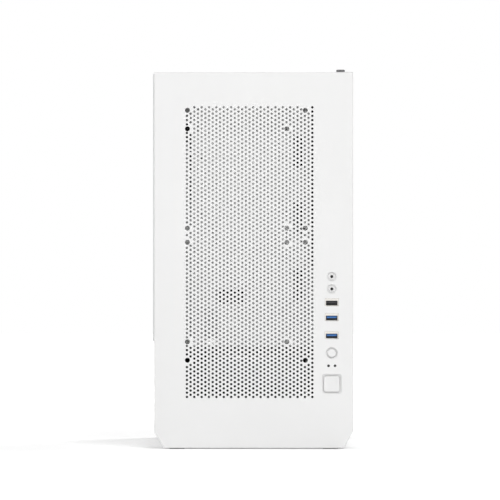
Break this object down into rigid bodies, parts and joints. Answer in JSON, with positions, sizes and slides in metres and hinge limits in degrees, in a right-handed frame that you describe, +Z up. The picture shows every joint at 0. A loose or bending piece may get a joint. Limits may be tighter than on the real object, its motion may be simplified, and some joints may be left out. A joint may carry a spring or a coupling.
{
  "type": "desktop computer tower",
  "caption": "White desktop computer tower with a perforated steel front, a socket column with two buttons, a glass side and fans, boards, drives and power supply inside.",
  "frame": {"origin": "middle of the footprint, on the floor under the feet", "axes": "+X to the right as seen from the front, +Y from the front to the rear, +Z up"},
  "size_m": [0.2116, 0.3845, 0.4016],
  "materials": {
    "white_steel": "satin white powder coat",
    "white_plastic": "satin white moulding",
    "black_plastic": "matt black moulding",
    "blue_plastic": "matt blue moulding",
    "dark_lens": "smooth smoked plastic",
    "circuit_board": "black solder mask",
    "bare_steel": "plated steel",
    "dark_screw": "dark grey plating, knurled",
    "tinted_glass": "toughened, smoked, with ground edges",
    "black_aluminium": "black anodised",
    "rubber_pad": "soft pale grey rubber",
    "filter_cloth": "fine black nylon net",
    "brass_pillar": "turned brass",
    "bare_aluminium": "bare aluminium",
    "black_steel": "black powder coat"
  },
  "bodies": {
    "chassis": {"front_panel": "white_steel", "front_mesh": "white_steel", "roof_panel": "white_steel", "base_pan": "white_steel", "rear_panel": "white_steel", "psu_shroud": "white_steel", "left_side_frame": "white_steel", "inner_front_wall": "white_steel", "motherboard_tray": "white_steel", "drive_cage": "white_steel", "audio_jacks": "white_plastic", "io_holder": "white_plastic", "filter_rails": "white_plastic", "usb2_tongue": "black_plastic", "push_switches": "black_plastic", "stud_sockets": "black_plastic", "feet": "black_plastic", "processor_socket": "black_plastic", "cooler_fan_frame": "black_plastic", "memory_slots": "black_plastic", "expansion_slots": "black_plastic", "board_connectors": "black_plastic", "rear_fan_frame": "black_plastic", "psu_fan_frame": "black_plastic", "psu_inlet": "black_plastic", "usb3_tongues": "blue_plastic", "light_pipes": "dark_lens", "io_board": "circuit_board", "motherboard": "circuit_board", "usb2_shell": "bare_steel", "usb3_shells": "bare_steel", "board_screws": "bare_steel", "rear_ports": "bare_steel", "rear_screws": "bare_steel", "drive_screws": "bare_steel", "processor": "bare_steel", "port_shield": "bare_steel", "coin_cell": "bare_steel", "foot_pads": "rubber_pad", "standoffs": "brass_pillar", "cooler_heatsink": "bare_aluminium", "board_heatsinks": "bare_aluminium", "hard_drive": "bare_aluminium", "solid_state_drive": "bare_aluminium", "memory_modules": "black_aluminium", "psu_case": "black_steel", "psu_cover": "black_steel", "slot_covers": "black_steel"},
    "power_button": {"power_button": "white_plastic"},
    "reset_button": {"reset_button": "white_plastic"},
    "glass_side": {"glass_panel": "tinted_glass", "glass_studs": "bare_steel"},
    "right_side": {"right_panel": "white_steel"},
    "roof_thumbscrew": {"roof_thumbscrew": "dark_screw"},
    "rear_fan_rotor": {"rear_fan_rotor": "black_plastic"},
    "cooler_fan_rotor": {"cooler_fan_rotor": "black_plastic"},
    "psu_fan_rotor": {"psu_fan_rotor": "black_plastic"},
    "psu_rocker": {"psu_rocker": "black_plastic"},
    "dust_filter": {"filter_frame": "white_plastic", "filter_mesh": "filter_cloth"}
  },
  "joints": [
    {"name": "power_press", "type": "slide", "parent": "chassis", "child": "power_button", "axis": [0, 1, 0], "range_m": [0, 0.0015], "stiffness_N_per_m": 500, "springref_m": -0.002},
    {"name": "reset_press", "type": "slide", "parent": "chassis", "child": "reset_button", "axis": [0, 1, 0], "range_m": [0, 0.0012], "stiffness_N_per_m": 500, "springref_m": -0.002},
    {"name": "glass_pull", "type": "slide", "parent": "chassis", "child": "glass_side", "axis": [-1, 0, 0], "range_m": [0, 0.06]},
    {"name": "right_panel_pull", "type": "slide", "parent": "chassis", "child": "right_side", "axis": [1, 0, 0], "range_m": [0, 0.06]},
    {"name": "thumbscrew_turn", "type": "hinge", "parent": "chassis", "child": "roof_thumbscrew", "pos_m": [0.093, -0.1648, 0.399], "axis": [0, 0, 1], "continuous": true},
    {"name": "rear_fan_spin", "type": "hinge", "parent": "chassis", "child": "rear_fan_rotor", "pos_m": [-0.0282, 0.1884, 0.3272], "axis": [0, -1, 0], "continuous": true},
    {"name": "cooler_fan_spin", "type": "hinge", "parent": "chassis", "child": "cooler_fan_rotor", "pos_m": [0.0349, 0.0829, 0.2922], "axis": [-1, 0, 0], "continuous": true},
    {"name": "psu_fan_spin", "type": "hinge", "parent": "chassis", "child": "psu_fan_rotor", "pos_m": [0.0008, 0.1164, 0.0473], "axis": [0, 0, -1], "continuous": true},
    {"name": "rocker_tip", "type": "hinge", "parent": "chassis", "child": "psu_rocker", "pos_m": [0.0468, 0.1884, 0.0833], "axis": [1, 0, 0], "range_deg": [0, 22]},
    {"name": "filter_pull", "type": "slide", "parent": "chassis", "child": "dust_filter", "axis": [0, 1, 0], "range_m": [0, 0.15]}
  ]
}
